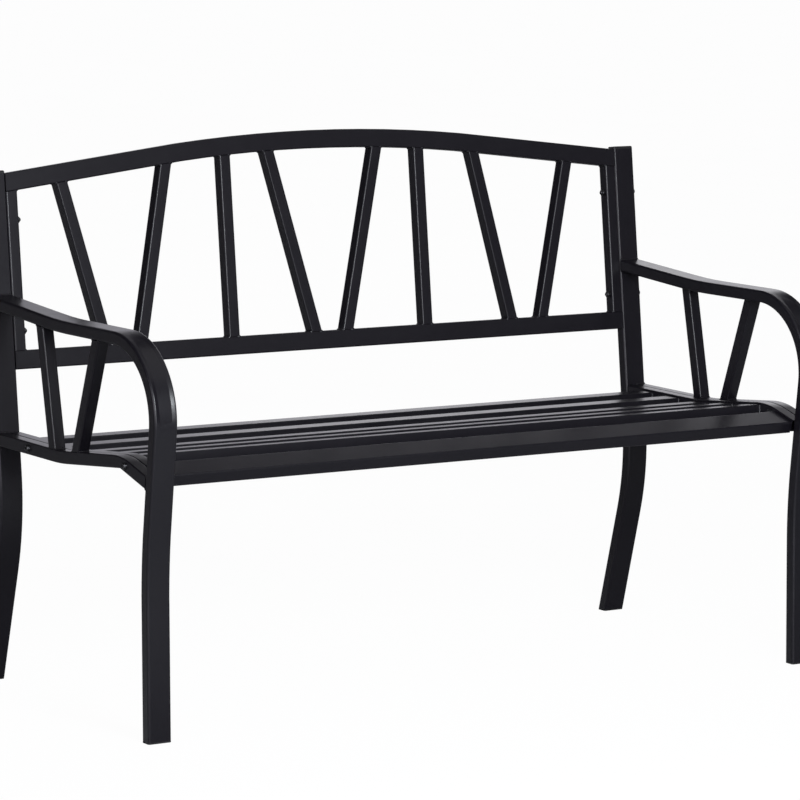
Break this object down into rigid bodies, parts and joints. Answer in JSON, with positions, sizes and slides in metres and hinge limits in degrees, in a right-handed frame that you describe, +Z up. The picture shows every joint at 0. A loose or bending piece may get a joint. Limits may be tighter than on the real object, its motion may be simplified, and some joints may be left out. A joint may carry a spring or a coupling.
{
  "type": "outdoor bench",
  "caption": "Outdoor bench for two in black powder-coated steel tube, with a slatted seat, curved arms with slanting spindles and a low arched back with slanting bars.",
  "frame": {"origin": "on the ground, under the middle of the bench's bounding box", "axes": "+X along the seat towards its right end as seen from the front, -Y towards the front, +Z up"},
  "size_m": [1.2786, 0.5653, 0.8606],
  "materials": {
    "powder_coated_steel": "satin black powder coat with a fine texture",
    "plastic_plugs": "moulded black plastic, matte",
    "fasteners": "dark zinc plating, slightly glossy"
  },
  "bodies": {
    "root": {"back_bar_1": "powder_coated_steel", "back_bar_2": "powder_coated_steel", "back_bar_3": "powder_coated_steel", "back_bar_4": "powder_coated_steel", "back_bar_5": "powder_coated_steel", "back_bar_6": "powder_coated_steel", "back_bar_7": "powder_coated_steel", "back_bar_8": "powder_coated_steel", "back_bottom_rail": "powder_coated_steel", "back_top_rail": "powder_coated_steel", "left_arm_spindle_front": "powder_coated_steel", "left_arm_spindle_rear": "powder_coated_steel", "left_arm_tube": "powder_coated_steel", "left_back_bolt_lower": "fasteners", "left_back_bolt_upper": "fasteners", "left_back_nut_lower": "fasteners", "left_back_nut_upper": "fasteners", "left_back_stile": "powder_coated_steel", "left_back_washers": "fasteners", "left_front_foot": "plastic_plugs", "left_post_cap": "plastic_plugs", "left_rear_foot": "plastic_plugs", "left_rear_post": "powder_coated_steel", "left_seat_bolt_front": "fasteners", "left_seat_bolt_rear": "fasteners", "left_seat_end_rail": "powder_coated_steel", "left_seat_nut_front": "fasteners", "left_seat_nut_rear": "fasteners", "left_seat_side_rail": "powder_coated_steel", "left_seat_washers": "fasteners", "right_arm_spindle_front": "powder_coated_steel", "right_arm_spindle_rear": "powder_coated_steel", "right_arm_tube": "powder_coated_steel", "right_back_bolt_lower": "fasteners", "right_back_bolt_upper": "fasteners", "right_back_nut_lower": "fasteners", "right_back_nut_upper": "fasteners", "right_back_stile": "powder_coated_steel", "right_back_washers": "fasteners", "right_front_foot": "plastic_plugs", "right_post_cap": "plastic_plugs", "right_rear_foot": "plastic_plugs", "right_rear_post": "powder_coated_steel", "right_seat_bolt_front": "fasteners", "right_seat_bolt_rear": "fasteners", "right_seat_end_rail": "powder_coated_steel", "right_seat_nut_front": "fasteners", "right_seat_nut_rear": "fasteners", "right_seat_side_rail": "powder_coated_steel", "right_seat_washers": "fasteners", "seat_centre_strap": "powder_coated_steel", "seat_front_nosing": "powder_coated_steel", "seat_slat_1": "powder_coated_steel", "seat_slat_2": "powder_coated_steel", "seat_slat_3": "powder_coated_steel", "seat_slat_4": "powder_coated_steel", "seat_slat_5": "powder_coated_steel"}
  },
  "joints": []
}
